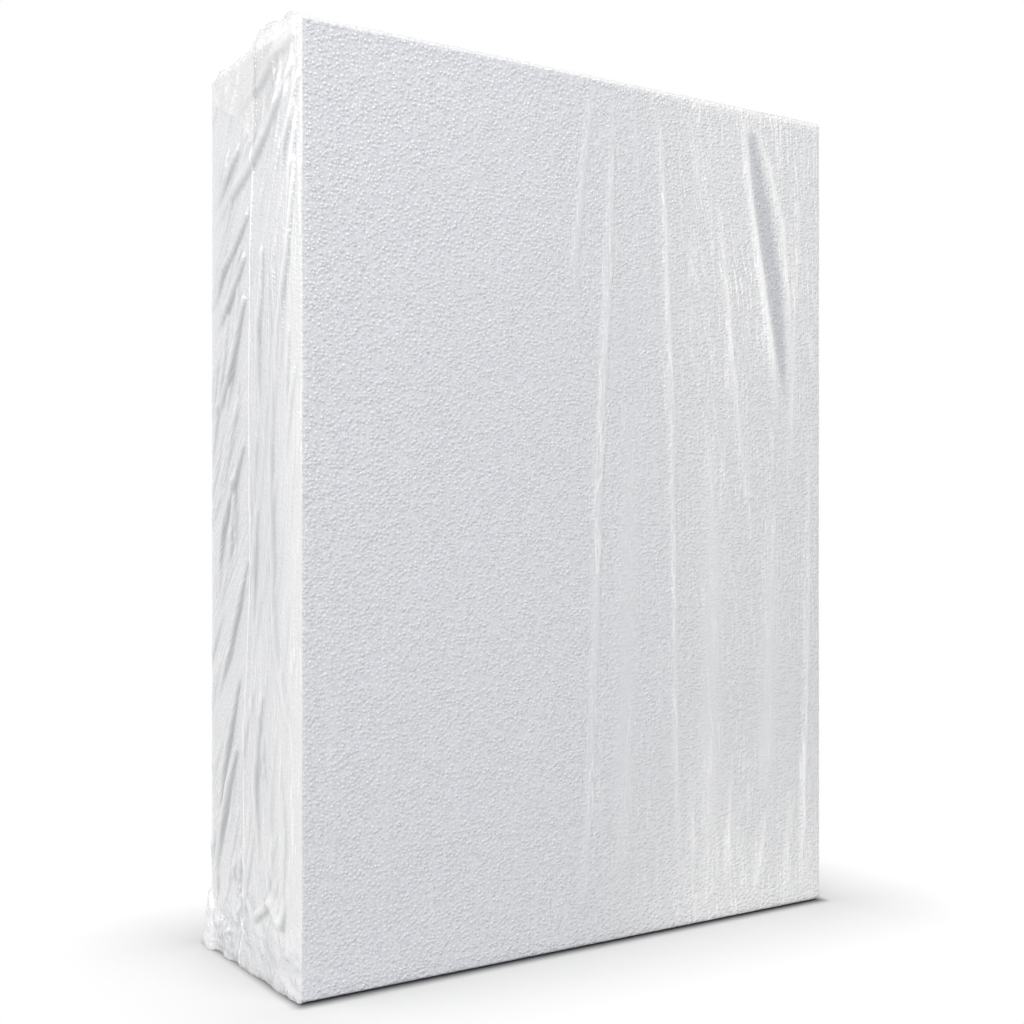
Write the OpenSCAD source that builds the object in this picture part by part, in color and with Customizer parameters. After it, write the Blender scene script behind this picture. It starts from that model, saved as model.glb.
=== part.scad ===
// Thick slab of expanded polystyrene, standing on its end in a clear polythene bag.
// X runs left to right, Y front to back and Z up. The origin is on the floor under the slab's middle.
// The bag is a flat one with a weld down each side. Its closed end is up: it lies over the top, and
// leaves a three-cornered ear of film folded down on each narrow side. Its mouth is folded underneath.

/* [Foam] */
// Width of the slab, left to right
foam_w = 433; // [300:1:700]
// Height of the slab as it stands
foam_h = 598; // [400:1:900]
// Thickness of the slab, front to back
foam_t = 152; // [100:1:250]
// Radius that the film's pull leaves on the slab's edges
foam_edge_r = 1.5; // [1:0.25:3]
// Height of the nick in the front left edge
nick_z = 306; // [100:1:350]
// Length of the nick along the edge
nick_len = 5; // [3:0.5:10]
// Depth of the nick
nick_deep = 2.5; // [1:0.5:4]

/* [Film] */
// Thickness of one layer of film
film_gauge = 0.2; // [0.15:0.05:0.4]
// Slack between the slab and the film
film_slack = 0.3; // [0.2:0.05:0.6]
// Layers of film folded flat under the slab
under_layers = 6; // [4:1:10]
// Inset of the folded film under the slab from its edges
under_inset = 4; // [3:0.5:12]
// Overlap of the two flaps under the slab
mouth_lap = 24; // [12:1:60]

/* [Welds] */
// Where the bag's side welds run, as a share of the thickness from the back
weld_share = 0.45; // [0.35:0.01:0.6]
// Width of a weld's foot
weld_w = 5; // [3:0.5:10]
// Height of a weld's crest
weld_crest = 1.6; // [1:0.1:3]

/* [Ears] */
// Layers of film in an ear folded down on a side
ear_layers = 3; // [2:1:6]
// How far an ear's tip hangs below the top
ear_drop = 66; // [40:1:90]
// Height of the film tucked up at the foot of a side
tuck_rise = 38; // [20:1:80]
// How far the loose film stands out at the foot of the left side
hem_reach = 8.5; // [3:0.5:12]
// Height of the loose film over the top left edge
crown_rise = 10; // [4:0.5:15]
// How far that loose film runs in over the top
crown_foot = 34; // [20:1:60]
// How far it runs along the front edge
crown_wrap = 30; // [15:1:60]
// How far its creases run down the left side
crown_hang = 26; // [10:1:50]

/* [Folds] */
// Height of a tall fold on the broad faces
tall_fold = 2.4; // [1:0.1:4]
// Height of a low fold on the broad faces
low_fold = 1.3; // [0.8:0.1:3]
// Width of a fold on the broad faces
fold_w = 9; // [5:0.5:16]
// Height of a fold on the narrow sides
side_fold = 2.0; // [1:0.1:4]
// Width of a fold on the narrow sides
side_fold_w = 8; // [5:0.5:14]
// Height of a soft swell in the slack film
swell_rise = 1.0; // [0.6:0.1:2]
// Width of a soft swell
swell_w = 30; // [16:1:50]
// Number of folds in the fan under the front top edge
fan_folds = 9; // [4:1:14]
// Number of folds down the back
back_folds = 9; // [4:1:16]

/* [Hidden] */

bite = film_gauge / 2;                       // how deep a fold's foot is set in the film
gap = film_slack + film_gauge;               // from the slab to the outside of the film
base_lift = under_layers * film_gauge;       // underside of the film above the floor
foam_z = base_lift + film_gauge;             // underside of the slab
film_w = foam_w + 2 * gap;
film_t = foam_t + 2 * gap;
film_h = foam_h + film_gauge + gap;          // the slab sits on the film, with slack above it
film_r = foam_edge_r + gap;
pocket_r = foam_edge_r + film_slack;
hollow_from = 5 * film_gauge;                // a fold lower than this is film pressed flat
wall_drop = 1.2 * film_gauge;                // from a fold's outside to its inside
ear_t = ear_layers * film_gauge;
margin = 1.6 * film_r;                       // folds stay this far from the edges

film_tint = [0.92, 0.94, 0.96, 0.45];

// Fold stations are [share across, share up, width, height, lean]. The first and last are its
// tips, and only their places count. Lean moves the crest, from -1 (right foot) to 1 (left foot).
tall_list = [
    // the long fold left of the middle
    [[0.539, 0.985], [0.535, 0.89, 1.0, 0.9, 0.3], [0.524, 0.74, 1.3, 1, 0.5], [0.509, 0.56, 1.2, 1, 0.5],
     [0.502, 0.36, 1.0, 0.9, 0.6], [0.491, 0.17, 1.0, 0.8, 0.6], [0.474, 0.012]],
    // the fold that fans down beside it
    [[0.500, 0.985], [0.484, 0.92, 1.1, 1, 0.3], [0.464, 0.79, 1.2, 0.8, 0.2], [0.472, 0.67]],
    // the long fold right of the middle
    [[0.620, 0.987], [0.637, 0.95, 0.8, 0.8, -0.3], [0.648, 0.84, 1.1, 1, -0.4],
     [0.658, 0.68, 1.1, 0.9, -0.4], [0.665, 0.46, 1.0, 0.7, -0.3], [0.670, 0.22, 1.2, 0.7, -0.2],
     [0.678, 0.03]],
    // the deep fold by the right edge and the one that meets it
    [[0.822, 0.985], [0.834, 0.90, 1.5, 1.3, -0.4], [0.862, 0.79, 1.8, 1.6, -0.5],
     [0.887, 0.70, 1.6, 1.4, -0.5], [0.900, 0.60]],
    [[0.839, 0.985], [0.878, 0.93, 1.3, 1.1, 0.4], [0.908, 0.86, 1.5, 1.2, 0.4], [0.924, 0.75, 1.1, 0.9, 0.3],
     [0.930, 0.64]]
];

low_list = [
    // between the two long folds, and right of them
    [[0.580, 0.985], [0.585, 0.93, 0.8, 0.9, 0], [0.598, 0.83]],
    [[0.696, 0.975], [0.714, 0.92, 0.9, 1, 0.2], [0.728, 0.86]],
    [[0.682, 0.83], [0.708, 0.79, 0.8, 0.9, 0], [0.730, 0.75]],
    [[0.765, 0.87], [0.778, 0.77, 1.0, 1, 0.2], [0.795, 0.66, 1.1, 1, 0.2], [0.822, 0.53, 0.9, 0.8, 0.2],
     [0.857, 0.41]],
    // the tight film by the right edge
    [[0.903, 0.985], [0.905, 0.94, 0.7, 0.9, 0], [0.909, 0.88]],
    [[0.949, 0.89], [0.937, 0.75, 0.9, 1, -0.2], [0.931, 0.62, 0.9, 0.9, -0.2], [0.926, 0.49]],
    [[0.958, 0.985], [0.962, 0.93, 0.7, 0.8, 0], [0.955, 0.86]],
    [[0.812, 0.519], [0.835, 0.521, 0.5, 0.9, 0.3], [0.858, 0.519]],
    // the lap down the right edge
    [[0.975, 0.60], [0.972, 0.42, 0.7, 0.8, -0.6], [0.968, 0.27, 0.7, 0.9, -0.7],
     [0.960, 0.12, 0.7, 0.9, -0.7], [0.953, 0.012]],
    // short folds rising from the foot
    [[0.700, 0.19], [0.706, 0.10, 0.9, 0.8, 0], [0.704, 0.012]],
    [[0.792, 0.20], [0.785, 0.10, 0.9, 0.9, 0], [0.778, 0.012]],
    [[0.868, 0.12], [0.855, 0.06, 1.0, 1, 0.3], [0.840, 0.012]],
    [[0.925, 0.14], [0.918, 0.06, 0.8, 0.8, 0], [0.912, 0.012]]
];

swell_list = [
    [[0.042, 0.44], [0.042, 0.30, 0.8, 1, 0], [0.044, 0.12, 0.9, 1, 0], [0.042, 0.012]],
    [[0.130, 0.42], [0.129, 0.27, 0.7, 0.9, 0], [0.132, 0.12, 0.9, 1, 0], [0.130, 0.012]],
    [[0.575, 0.62], [0.570, 0.40, 1.2, 1, 0], [0.565, 0.20, 1.2, 1, 0], [0.560, 0.012]],
    [[0.745, 0.58], [0.750, 0.40, 1.2, 1, 0], [0.742, 0.18, 1.1, 1, 0], [0.738, 0.012]],
    [[0.885, 0.50], [0.880, 0.36, 1.0, 1, 0], [0.872, 0.20, 1.0, 1, 0], [0.866, 0.13]]
];

left_list = [
    // the ear's crumpled film and the tight fold that runs off it
    [[0.90, 0.960], [0.75, 0.933, 1.2, 1.2, 0.5], [0.575, 0.900, 1.3, 1.3, 0.5],
     [0.475, 0.883, 1.2, 1.2, 0.5], [0.25, 0.857, 1.1, 1, 0.5], [0.04, 0.830]],
    [[0.925, 0.985], [0.75, 0.980, 0.8, 1.1, 0], [0.425, 0.950, 0.9, 0.9, 0.2], [0.30, 0.935]],
    [[0.96, 0.945], [0.83, 0.885, 0.8, 0.8, 0], [0.77, 0.835]],
    [[0.94, 0.905], [0.89, 0.855, 0.7, 0.7, 0], [0.82, 0.800]],
    [[0.34, 0.905], [0.20, 0.880, 1.0, 0.9, 0], [0.04, 0.845]],
    // diagonals off the weld, in the upper half
    [[0.45, 0.827], [0.30, 0.795, 1.0, 1, 0.3], [0.15, 0.773, 1.0, 1, 0.3], [0.03, 0.733]],
    [[0.42, 0.780], [0.22, 0.733, 1.1, 1, 0.3], [0.05, 0.707]],
    [[0.42, 0.733], [0.25, 0.653, 1.2, 1.1, 0.4], [0.05, 0.607]],
    // diagonals off the weld, in the lower half
    [[0.42, 0.573], [0.28, 0.525, 1.1, 1, 0.3], [0.15, 0.480, 1.2, 1, 0.3], [0.05, 0.400]],
    [[0.32, 0.533], [0.28, 0.480, 0.8, 0.9, 0], [0.22, 0.420]],
    [[0.45, 0.447], [0.36, 0.390, 1.0, 1, 0.3], [0.25, 0.340, 1.1, 0.9, 0.3], [0.07, 0.280]],
    [[0.40, 0.313], [0.30, 0.255, 1.1, 1, 0.4], [0.20, 0.200, 1.0, 1, 0.4], [0.03, 0.120]],
    [[0.38, 0.233], [0.30, 0.195, 1.3, 1.2, 0.4], [0.22, 0.160, 1.2, 1.2, 0.4], [0.03, 0.075]],
    // folds between the weld and the front edge
    [[0.925, 0.807], [0.825, 0.727, 0.9, 1, 0], [0.737, 0.700, 0.9, 0.9, 0], [0.75, 0.627]],
    [[0.725, 0.687], [0.715, 0.550, 0.7, 0.8, -0.3], [0.725, 0.400, 0.8, 0.9, -0.3],
     [0.775, 0.347, 1.0, 1, -0.3], [0.863, 0.293, 1.0, 0.9, -0.4], [0.937, 0.260]],
    [[0.812, 0.233], [0.830, 0.185, 0.8, 0.8, 0], [0.837, 0.133]],
    [[0.56, 0.500], [0.53, 0.440, 1.0, 0.9, 0], [0.54, 0.360]],
    [[0.62, 0.780], [0.58, 0.690, 0.9, 0.8, 0], [0.60, 0.590]],
    [[0.64, 0.300], [0.60, 0.200, 0.9, 0.9, 0], [0.63, 0.110]],
    // the crumpled foot
    [[0.60, 0.060], [0.75, 0.087, 0.8, 1, 0], [0.825, 0.067, 0.8, 0.9, 0], [0.85, 0.105]],
    [[0.475, 0.075], [0.44, 0.055, 0.8, 1, 0], [0.42, 0.033]]
];

// how far the left weld wanders, as [share of the thickness, share up]
weld_list = [[0.025, 0.985], [0.012, 0.82], [0.0, 0.60], [0.025, 0.44], [-0.037, 0.30], [-0.062, 0.20],
    [-0.05, 0.11], [-0.037, 0.02]];

// the loose film at the foot of the left side, as [share from the back, of the reach, of the rise]
hem_list = [[0.03, 0.66, 0.45], [0.12, 0.95, 0.80], [0.22, 0.80, 0.95], [0.30, 1.0, 0.95], [0.42, 0.78, 1.0],
    [0.52, 0.90, 0.85], [0.66, 0.55, 0.75], [0.78, 0.60, 0.55]];

// the loose film along the top left edge, as [share from the front, share of the rise]
crown_list = [[0.02, 0.2], [0.055, 0.48], [0.13, 0.78], [0.22, 0.86], [0.31, 1.0], [0.36, 0.94], [0.415, 1.0],
    [0.47, 0.5], [0.56, 0.16], [0.68, 0.10], [0.80, 0.20], [0.90, 0.12]];

// creases that run over that loose film, as [share from the front, share of the rise, width, run], in mm
crease_list = [[0.16, 0.55, 22, 70], [0.29, 0.75, 16, 110], [0.40, 0.62, 18, 85], [0.64, 0.22, 24, 60],
    [0.82, 0.30, 26, 75]];

// The fan under the front top edge: it turns from flat to upright, and lengthens, to the right
fan_list = [for (i = [0 : fan_folds - 1]) let (
        k = i / (fan_folds - 1),
        start = [0.13 + 0.32 * k, 0.986],
        turn = 198 + 60 * k,
        run = 0.055 + 0.09 * k * k + 0.012 * sin(100 * i),
        tip = start + run * [cos(turn) * foam_h / foam_w, sin(turn)],
        mid = (start + tip) / 2 + [0.004 * cos(120 * i), 0])
    [start, [mid[0], mid[1], 0.6 + 0.4 * k, 0.8 + 0.3 * k, 0.3 * cos(90 * i)], tip]];

// Folds down the back, each a little different, and longer towards the middle
back_list = [for (i = [0 : back_folds - 1]) let (
        x = (i + 0.7) / (back_folds + 0.4),
        sway = 0.03 * sin(137 * i),
        foot = 0.30 + 0.25 * sin(71 * i))
    [[x, 0.985], [x + sway / 2, 0.86, 1 + 0.2 * sin(50 * i), 0.8 + 0.2 * cos(90 * i), 0.4 * cos(60 * i)],
     [x + sway, (0.86 + foot) / 2, 1, 0.9, 0.4 * cos(60 * i)], [x + sway * 1.2, foot]]];

// Folds that run from the weld to the edges of the right side
right_list = [for (i = [0 : 5], side = [-1, 1]) let (
        z = 0.10 + 0.13 * i + 0.03 * side,
        start = 1 - weld_share + 0.05 * side,
        reach = side > 0 ? 0.95 - start : 0.05 - start)
    [[start, z + 0.05],
     [start + reach * 0.45, z + 0.03 * sin(80 * i), 1, 0.8 + 0.2 * cos(70 * i), 0.3 * side],
     [start + reach, z - 0.04]]];

// Folds across the top, square to the crease down its middle
top_list = [for (i = [0 : 6], side = [-1, 1]) let (
        x = 0.16 + 0.12 * i + 0.02 * side,
        start = 0.5 + 0.06 * side,
        reach = side > 0 ? 0.93 - start : 0.07 - start)
    [[x, start], [x + 0.01 * sin(90 * i), start + reach * 0.5, 1, 0.8 + 0.2 * cos(110 * i), 0.3],
     [x + 0.02 * side, start + reach]]];

function across(face) = (face == "left" || face == "right") ? film_t : film_w;
function up(face) = face == "top" ? film_t : film_h;

// Puts its children on a face: x runs right and y runs up for someone looking at it, and z points outwards.
module on_face(face) {
    if (face == "front") translate([-film_w / 2, -film_t / 2, base_lift]) rotate([90, 0, 0]) children();
    if (face == "back") translate([film_w / 2, film_t / 2, base_lift]) rotate([90, 0, 180]) children();
    if (face == "left") translate([-film_w / 2, film_t / 2, base_lift]) rotate([90, 0, -90]) children();
    if (face == "right") translate([film_w / 2, -film_t / 2, base_lift]) rotate([90, 0, 90]) children();
    if (face == "top") translate([-film_w / 2, -film_t / 2, base_lift + film_h]) children();
}

// Faces of a ridge with a tip at each end and n three-point stations between them
function ridge_faces(n) = concat(
    [[0, 1, 2], [0, 2, 3], [0, 3, 1]],
    [for (i = [0 : 1 : n - 2], f = [[1, 4, 5], [1, 5, 2], [3, 2, 5], [3, 5, 6], [3, 6, 4], [3, 4, 1]])
        [for (k = f) k + 3 * i]],
    [for (f = [[4, 2, 1], [4, 3, 2], [4, 1, 3]]) [for (k = f) k + 3 * (n - 1)]]);

// Unit vector to the left of the way from a to b
function leftward(a, b) = let (d = [b[0] - a[0], b[1] - a[1]]) [-d[1], d[0]] / norm(d);

// A ridge through stations [x, y, width, height, lean], tapering to a tip at its first and last. Its
// sections are square to its run, or lie along side. A drop above 0 gives the hollow inside it.
module ridge(stations, drop = 0, side = undef) {
    last = len(stations) - 1;
    floor_z = -bite - drop;
    sections = [for (i = [1 : last - 1]) let (
            s = stations[i],
            left = is_undef(side) ? leftward(stations[i - 1], stations[i + 1]) : side,
            n = left * (s[2] / 2 - drop))
        each [
            [s[0] + n[0], s[1] + n[1], floor_z],
            [s[0] + n[0] * s[4], s[1] + n[1] * s[4], s[3] - drop],
            [s[0] - n[0], s[1] - n[1], floor_z]
        ]];
    polyhedron(
        points = concat([[stations[0][0], stations[0][1], floor_z]], sections,
            [[stations[last][0], stations[last][1], floor_z]]),
        faces = ridge_faces(last - 1));
}

// One fold of a list, with its shares turned into millimetres on a face
function on(face, fold, w, h) = [for (s = fold) [s[0] * across(face), s[1] * up(face),
    w * (len(s) > 2 ? s[2] : 0), h * (len(s) > 2 ? s[3] : 0), len(s) > 2 ? s[4] : 0]];

// The tallest station of a fold
function crest(stations) = max([for (s = stations) s[3]]);

module folds(face, list, w, h, drop) {
    for (fold = list) {
        stations = on(face, fold, w, h);
        if (drop == 0 || crest(stations) > hollow_from) on_face(face) ridge(stations, drop);
    }
}

module all_folds(drop = 0) {
    folds("front", swell_list, swell_w, swell_rise, drop);
    folds("front", tall_list, fold_w, tall_fold, drop);
    folds("front", low_list, fold_w, low_fold, drop);
    folds("front", fan_list, fold_w, low_fold, drop);
    folds("left", left_list, side_fold_w, side_fold, drop);
    folds("back", back_list, fold_w, low_fold, drop);
    folds("right", right_list, side_fold_w, side_fold, drop);
    folds("top", top_list, side_fold_w, side_fold, drop);
}

// A weld stands up as a thin fin down each side. The bag's closed end leaves a crease over the top.
module welds() {
    on_face("left") ridge([for (s = weld_list)
        [(weld_share + s[0]) * film_t, s[1] * film_h, weld_w, weld_crest, 0]]);
    on_face("right") ridge([for (z = [0.015, 0.25, 0.5, 0.75, 0.985])
        [(1 - weld_share) * film_t, z * film_h, weld_w, weld_crest, 0]]);
    on_face("top") ridge([for (x = [0.01, 0.25, 0.5, 0.75, 0.99])
        [x * film_w, film_t / 2, weld_w, weld_crest / 2, 0]]);
}

// The bag's three-cornered ear, folded down on a side with its tip on the weld
module ear(face, tip_share) {
    on_face(face) translate([0, 0, -bite]) linear_extrude(ear_t + bite) polygon([
        [margin, film_h - margin],
        [tip_share * film_t, film_h - ear_drop],
        [film_t - margin, film_h - margin]]);
}

// Film tucked up at the foot of a side, highest at the back
module tuck(face, mirrored) {
    from = mirrored ? film_t : 0;
    way = mirrored ? -1 : 1;
    on_face(face) translate([0, 0, -bite]) linear_extrude(ear_t + bite) polygon([
        for (p = [[0, 0], [0, 1], [0.4, 0.92], [0.5, 0.62], [0.8, 0.5], [1, 0]])
            [from + way * (margin + p[0] * (film_t - 2 * margin)), margin + p[1] * tuck_rise]]);
}

// Loose film that stands out at the foot of the left side
module hem(drop = 0) {
    span = film_t - 2 * margin;
    on_face("left") ridge(concat(
        [[margin, margin + 0.1 * tuck_rise, 0, 0, 0]],
        [for (s = hem_list) [margin + s[0] * span, margin / 2 + s[2] * tuck_rise / 2, s[2] * tuck_rise,
            s[1] * hem_reach, -0.9]],
        [[margin + 0.93 * span, margin, 0, 0, 0]]), drop, side = [0, 1]);
}

// Loose film standing over the top left edge, and the creases that run over it and down the side
module crown(drop = 0) {
    on_face("top") {
        ridge(concat(
            [[margin + crown_foot * 0.1, margin, 0, 0, 0]],
            [for (s = crown_list) let (w = crown_foot * (0.3 + 0.7 * s[1]))
                [margin + w / 2, margin + s[0] * film_t, w, s[1] * crown_rise, 0.92]],
            [[margin + crown_foot * 0.1, 0.97 * film_t, 0, 0, 0]]), drop, side = [-1, 0]);
        ridge([
            [margin, margin + 0.06 * crown_wrap, 0, 0, 0],
            for (s = [[0.2, 0.12, 0.23, 0.3], [0.6, 0.10, 0.2, 0.17]])
                [margin + s[0] * crown_wrap, margin + s[1] * crown_wrap, s[2] * crown_wrap,
                    s[3] * crown_rise, -0.9],
            [margin + crown_wrap, margin + 0.06 * crown_wrap, 0, 0, 0]], drop, side = [0, 1]);
        for (c = crease_list) if (drop == 0 || c[1] * crown_rise > hollow_from)
            crown_crease(c[0] * film_t, c[1] * crown_rise, c[2] / 2, c[3], drop);
    }
}

// One crease over the top left edge: it starts at a tip on the side and runs in over the top
module crown_crease(y, h, half, run, drop) {
    floor_z = -bite - drop;
    polyhedron(
        points = [
            [bite + drop, y, -crown_hang - h],
            [film_r + drop, y + half, floor_z],
            [film_r / 2 + drop, y, h - drop],
            [film_r + drop, y - half, floor_z],
            [film_r + run * 0.4, y + half * 0.7, floor_z],
            [film_r + run * 0.35, y, h * 0.6 - drop],
            [film_r + run * 0.4, y - half * 0.7, floor_z],
            [film_r + run, y, floor_z]
        ],
        faces = ridge_faces(2));
}

// The bag's mouth, folded flat under the slab, which stands on it
module under_folds() {
    x = film_w / 2 - under_inset;
    y = film_t / 2 - under_inset;
    apex = film_w / 2 - film_t / 2;
    linear_extrude(base_lift + bite) {
        for (s = [-1, 1])
            polygon([[s * x, -y], [s * x, y], [s * apex, mouth_lap / 2], [s * apex, -mouth_lap / 2]]);
        square([2 * apex, mouth_lap], center = true);
    }
}

// Rectangle with rounded corners, centred
module soft_rect(w, h, r) {
    square([w - 2 * r, h], center = true);
    square([w, h - 2 * r], center = true);
    for (x = [-1, 1], y = [-1, 1]) translate([x * (w / 2 - r), y * (h / 2 - r)]) circle(r, $fn = 32);
}

// Box with every edge rounded, centred
module soft_box(size, r) {
    intersection() {
        linear_extrude(size[2], center = true) soft_rect(size[0], size[1], r);
        rotate([90, 0, 0]) linear_extrude(size[1], center = true) soft_rect(size[0], size[2], r);
        rotate([90, 0, 90]) linear_extrude(size[0], center = true) soft_rect(size[1], size[2], r);
    }
}

module foam_sheet() {
    color("whitesmoke") difference() {
        translate([0, 0, foam_z + foam_h / 2]) soft_box([foam_w, foam_t, foam_h], foam_edge_r);
        translate([-foam_w / 2, -foam_t / 2, foam_z + nick_z]) rotate([0, 0, 45])
            cube([nick_deep * 2, nick_deep * 2, nick_len], center = true);
    }
}

module film_wrap() {
    color(film_tint) difference() {
        union() {
            translate([0, 0, base_lift + film_h / 2]) soft_box([film_w, film_t, film_h], film_r);
            all_folds();
            welds();
            ear("left", weld_share);
            ear("right", 1 - weld_share);
            tuck("left", false);
            tuck("right", true);
            hem();
            crown();
            under_folds();
        }
        translate([0, 0, foam_z + (foam_h + film_slack) / 2])
            soft_box([foam_w + 2 * film_slack, foam_t + 2 * film_slack, foam_h + film_slack], pocket_r);
        all_folds(wall_drop);
        hem(wall_drop);
        crown(wall_drop);
    }
}

foam_sheet();
film_wrap();
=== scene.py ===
"""Dresses a polystyrene foam slab in its clear polythene bag, with a studio round it.

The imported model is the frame: its foam slab stays and gets the finish of hot-wire cut beads, and a
modelled bag of thin film stands for its plain film solid. All sizes are in metres unless a name ends
in _mm. The bag is worked out as what it is: a flat tube of film with one end closed, pulled down over
the slab, its corners folded into ears and its mouth folded under.
"""
import logging
import math
import random
from collections.abc import Callable
from dataclasses import dataclass, field
from enum import Enum
from functools import partial

import bmesh
import bpy
import numpy as np
from bpy.types import Material, Mesh, Node, NodeSocket, NodeTree, Object
from mathutils import Matrix, Vector, noise

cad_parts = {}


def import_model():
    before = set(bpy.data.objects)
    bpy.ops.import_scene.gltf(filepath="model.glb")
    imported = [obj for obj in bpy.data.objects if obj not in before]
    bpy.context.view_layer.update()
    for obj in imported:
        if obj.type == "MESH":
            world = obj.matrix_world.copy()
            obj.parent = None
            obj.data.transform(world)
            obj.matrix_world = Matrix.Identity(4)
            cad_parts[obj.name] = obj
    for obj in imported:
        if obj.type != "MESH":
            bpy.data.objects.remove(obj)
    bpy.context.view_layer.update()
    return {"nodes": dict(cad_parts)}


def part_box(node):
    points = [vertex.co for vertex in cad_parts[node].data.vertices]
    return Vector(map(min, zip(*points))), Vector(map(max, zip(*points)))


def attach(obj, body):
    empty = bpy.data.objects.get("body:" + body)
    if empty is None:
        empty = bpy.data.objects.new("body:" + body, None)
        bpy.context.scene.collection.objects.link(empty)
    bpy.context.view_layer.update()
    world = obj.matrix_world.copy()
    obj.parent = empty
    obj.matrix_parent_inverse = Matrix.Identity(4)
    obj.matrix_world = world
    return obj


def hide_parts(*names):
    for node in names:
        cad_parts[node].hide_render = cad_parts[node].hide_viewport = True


MM = 0.001
# a colour Mix node's two colour inputs and its colour output
MIX_A, MIX_B, MIX_COLOUR = 6, 7, 2
SMOOTH = "SMOOTHSTEP"
WHITE = "#FFFFFF"
Array = np.ndarray
log = logging.getLogger("wrapped_slab")


# ---- small tools


def linear(code: str, alpha: float = 1.0) -> tuple[float, float, float, float]:
    """Turns an sRGB hex colour into the linear one that shaders take.

    Args:
        code: the colour as "#RRGGBB".
        alpha: its alpha.

    Returns:
        Linear red, green, blue and alpha.
    """
    parts = [int(code[i : i + 2], 16) / 255 for i in (1, 3, 5)]
    lin = [c / 12.92 if c <= 0.04045 else ((c + 0.055) / 1.055) ** 2.4 for c in parts]
    return (lin[0], lin[1], lin[2], alpha)


def ramp(value: Array, start: float, span: float) -> Array:
    """Rises from 0 at the start to 1 one span on, which lies below the start where it is negative."""
    return np.clip((value - start) / span, 0, 1)


def fade(value: Array, span: float) -> Array:
    """Falls from 1 at nought to 0 one span on."""
    return np.clip(1 - value / span, 0, 1)


def along_table(share: Array, table: tuple[tuple[float, float], ...]) -> Array:
    """Reads a table of (share, value) pairs between its lines."""
    return np.interp(share, *zip(*table))


def add_node(tree: NodeTree, kind: str, inputs: dict | None = None, **settings: object) -> Node:
    """Adds one shader node to a tree, with its settings and what feeds it.

    Args:
        tree: the tree.
        kind: the node's type without its first words, and its operation, such as "Bump" or "Math ADD".
        inputs: by the input's name or number, a value, a socket, or a node whose first output feeds it.
        settings: the node's own settings.

    Returns:
        The new node.
    """
    kind, *operation = kind.split()
    node = tree.nodes.new("ShaderNode" + kind)
    if operation:
        node.operation = operation[0]
    for name, value in settings.items():
        setattr(node, name, value)
    for name, value in (inputs or {}).items():
        source = value.outputs[0] if isinstance(value, Node) else value
        if isinstance(source, NodeSocket):
            tree.links.new(source, node.inputs[name])
        else:
            node.inputs[name].default_value = source
    return node


def seen_directly(tree: NodeTree) -> Node:
    """Adds a switch for what the camera sees, straight or in a gloss.

    Args:
        tree: the tree.

    Returns:
        A value of 1 for camera, glossy and transmitted rays, and 0 for the light on things.
    """
    path = add_node(tree, "LightPath").outputs
    seen = add_node(tree, "Math MAXIMUM", {0: path["Is Camera Ray"], 1: path["Is Glossy Ray"]})
    return add_node(tree, "Math MAXIMUM", {0: seen, 1: path["Is Transmission Ray"]})


def fresh_material(name: str) -> tuple[Material, Callable[..., Node]]:
    """Starts a node material that holds nothing yet.

    Args:
        name: the material's name.

    Returns:
        The material, and what adds a node to it.
    """
    material = bpy.data.materials.new(name)
    material.use_nodes = True
    material.node_tree.nodes.clear()
    return material, partial(add_node, material.node_tree)


def stand(thing: Object, place: Vector, way: Vector) -> None:
    """Adds a lamp or camera to the scene, at its place and facing its way."""
    bpy.context.scene.collection.objects.link(thing)
    thing.matrix_world = Matrix.Translation(place) @ way.to_track_quat("-Z", "Y").to_matrix().to_4x4()


# ---- finishes


@dataclass(frozen=True)
class CutBeads:
    """Cut polystyrene beads: low domes that touch, lie flattened and lean each its own way.

    A dome's reach and a groove's width are shares of a bead.
    """

    bead_mm: float = 2.8
    flattening: float = 1.18
    randomness: float = 0.85
    dome_reach: float = 0.66
    groove_width: float = 0.13
    tilt: float = 0.4

    def relief(self, add: Callable[..., Node], place: NodeSocket) -> tuple[Node, Node]:
        """Adds the beads' relief to a material.

        Args:
            add: what adds a node to the material.
            place: the coordinates, in metres.

        Returns:
            The relief's height, and a mask that is 0 in the grooves between the beads and 1 on them.
        """
        per_metre = 1 / (self.bead_mm * MM)
        spot = add("VectorMath MULTIPLY", {0: place, 1: (1.0, 1.0, self.flattening)})
        pattern = {"Vector": spot, "Scale": per_metre, "Randomness": self.randomness}
        cells = add("TexVoronoi", pattern).outputs
        edges = add("TexVoronoi", pattern, feature="DISTANCE_TO_EDGE")
        groove = add("MapRange", {"Value": edges, "From Max": self.groove_width}, interpolation_type=SMOOTH)
        dome = add("MapRange", {"Value": cells["Distance"], "From Max": self.dome_reach, "To Min": 1.0,
                                "To Max": 0.0}, interpolation_type=SMOOTH)
        # each bead's chance colour is the way it leans, about its own centre
        lean = add("VectorMath SUBTRACT", {0: cells["Color"], 1: (0.5, 0.5, 0.5)})
        reach = add("VectorMath MULTIPLY", {0: spot, 1: (per_metre,) * 3})
        off_centre = add("VectorMath MULTIPLY_ADD", {0: cells["Position"], 1: (-per_metre,) * 3, 2: reach})
        slope = add("VectorMath DOT_PRODUCT", {0: lean, 1: off_centre}).outputs["Value"]
        return add("Math MULTIPLY_ADD", {0: slope, 1: self.tilt, 2: dome}), groove


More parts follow.
